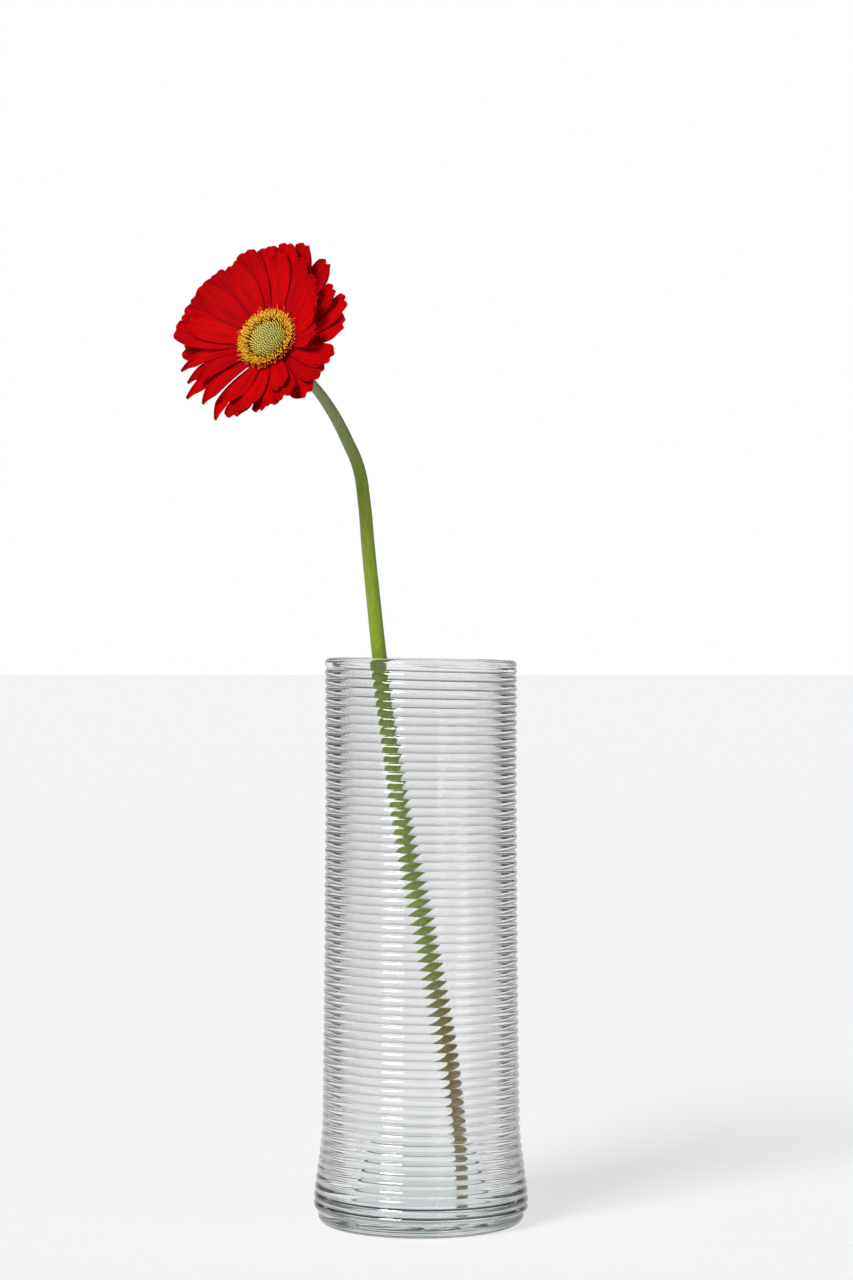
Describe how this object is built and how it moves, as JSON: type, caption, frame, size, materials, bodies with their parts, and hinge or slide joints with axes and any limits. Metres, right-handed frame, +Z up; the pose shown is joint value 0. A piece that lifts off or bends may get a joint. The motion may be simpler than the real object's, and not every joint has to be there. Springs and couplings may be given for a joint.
{
  "type": "gerbera in glass vase",
  "caption": "Cut red gerbera on a bare curved stalk, standing at a slant in a tall clear glass vase with a threaded outside and a projecting last turn above a plain foot.",
  "frame": {"origin": "centre of the flat underside of the vase", "axes": "+Z up along the vase's axis; the flower leans towards -X and -Y"},
  "size_m": [0.1718, 0.1753, 0.4806],
  "materials": {
    "glass": "clear thick glass, fire-polished, faint grey-green tint in the foot",
    "stalk": "matt fresh green skin, greyer and downy near the flower, brown-olive at the foot",
    "cup": "matt downy grey-green leaf",
    "petal": "satin bright red petal with fine lengthwise veins",
    "bud": "matt pale green-yellow closed buds",
    "floret": "matt golden open florets",
    "crown": "orange-red filaments"
  },
  "bodies": {
    "root": {"vase": "glass", "stalk": "stalk", "receptacle": "cup", "bract_01": "cup", "bract_02": "cup", "bract_03": "cup", "bract_04": "cup", "bract_05": "cup", "bract_06": "cup", "bract_07": "cup", "bract_08": "cup", "bract_09": "cup", "bract_10": "cup", "bract_11": "cup", "bract_12": "cup", "bract_13": "cup", "petal_01": "petal", "petal_02": "petal", "petal_03": "petal", "petal_04": "petal", "petal_05": "petal", "petal_06": "petal", "petal_07": "petal", "petal_08": "petal", "petal_09": "petal", "petal_10": "petal", "petal_11": "petal", "petal_12": "petal", "petal_13": "petal", "petal_14": "petal", "petal_15": "petal", "petal_16": "petal", "petal_17": "petal", "petal_18": "petal", "petal_19": "petal", "petal_20": "petal", "petal_21": "petal", "petal_22": "petal", "petal_23": "petal", "petal_24": "petal", "petal_25": "petal", "petal_26": "petal", "petal_27": "petal", "petal_28": "petal", "petal_29": "petal", "petal_30": "petal", "petal_31": "petal", "petal_32": "petal", "petal_33": "petal", "petal_34": "petal", "petal_35": "petal", "petal_36": "petal", "petal_37": "petal", "petal_38": "petal", "petal_39": "petal", "disc_centre": "bud", "disc_ring": "floret", "crown_ring": "crown"}
  },
  "joints": []
}
